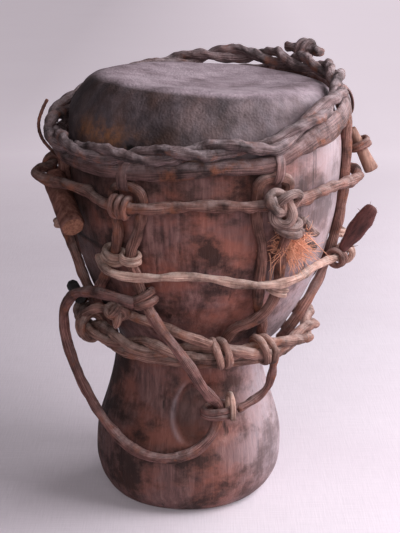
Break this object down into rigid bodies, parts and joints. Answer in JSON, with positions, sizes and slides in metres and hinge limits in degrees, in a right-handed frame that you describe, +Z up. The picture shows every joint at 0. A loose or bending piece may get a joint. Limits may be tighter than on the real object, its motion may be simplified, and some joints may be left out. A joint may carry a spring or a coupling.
{
  "type": "goblet drum",
  "caption": "Single-headed goblet drum carved from wood, with a laced hide head on twisted rings, tension pegs, a twisted waist belt and a carrying strap.",
  "frame": {"origin": "centre of the foot on the floor", "axes": "+Z up along the foot's axis, front with the carrying strap towards -Y, the bowl leans to +X"},
  "size_m": [0.2425, 0.2178, 0.3183],
  "materials": {
    "carved_wood": "adzed and hand-rubbed hardwood, dull sheen",
    "drum_skin": "scraped hide, dusty and matte",
    "rolled_hide": "rolled and twisted hide, worn dark",
    "thong": "dry rolled thong, frayed in places",
    "pale_thong": "pale dry thong",
    "strap": "dry rolled strap",
    "peg_wood": "whittled hardwood",
    "pale_peg_wood": "whittled pale wood",
    "black_wood": "charred or stained wood",
    "hair_hide": "stiff hide with short hair",
    "fibre": "frayed fibres"
  },
  "bodies": {
    "drum": {"shell": "carved_wood", "drumhead": "drum_skin", "head_hem_roll": "rolled_hide", "head_braid_strand_a": "rolled_hide", "head_braid_strand_b": "rolled_hide", "rear_knot": "rolled_hide", "upper_thong": "thong", "lower_thong": "pale_thong", "lacing_front_left": "thong", "lacing_front_right": "thong", "lacing_right": "thong", "lacing_back_right": "thong", "lacing_back_left": "thong", "lacing_left": "thong", "head_link_front_left": "rolled_hide", "head_link_front_right": "rolled_hide", "head_link_right": "rolled_hide", "head_link_back_right": "rolled_hide", "head_link_back_left": "rolled_hide", "head_link_left": "rolled_hide", "tie_front_left": "thong", "tie_front_right": "thong", "tie_back_right": "thong", "tie_back_left": "thong", "tie_left": "thong", "keeper_front_left": "pale_thong", "keeper_front_right": "pale_thong", "keeper_right": "pale_thong", "keeper_back_right": "pale_thong", "keeper_back_left": "pale_thong", "keeper_left": "pale_thong", "belt_strand_a": "thong", "belt_strand_b": "thong", "belt_lower_strand": "thong", "right_peg_loop": "thong", "front_knot": "thong", "front_knot_tail_upper": "thong", "front_knot_tail_lower": "thong", "frayed_tuft": "fibre", "hide_tab": "hair_hide", "side_knot": "thong", "side_cord": "rolled_hide", "diagonal_strap": "strap", "strap_eye": "strap", "strap_bight": "pale_thong", "strap_tail": "strap"},
    "left_peg": {"left_peg": "peg_wood"},
    "right_peg": {"right_peg": "pale_peg_wood"},
    "waist_toggle": {"waist_toggle": "black_wood"},
    "carry_loop": {"carry_loop": "strap"}
  },
  "joints": [
    {"name": "left_peg_slide", "type": "slide", "parent": "drum", "child": "left_peg", "axis": [0.3134, -0.8255, -0.4694], "range_m": [0, 0.015]},
    {"name": "right_peg_slide", "type": "slide", "parent": "drum", "child": "right_peg", "axis": [0.45, 0.0173, -0.8928], "range_m": [0, 0.012]},
    {"name": "waist_toggle_slide", "type": "slide", "parent": "drum", "child": "waist_toggle", "axis": [-0.2069, 0.9733, -0.0995], "range_m": [0, 0.012]},
    {"name": "carry_loop_swing", "type": "hinge", "parent": "drum", "child": "carry_loop", "pos_m": [0.0219, -0.0634, 0.079], "axis": [-0.5303, -0.2267, 0.817], "range_deg": [0, 36]}
  ]
}
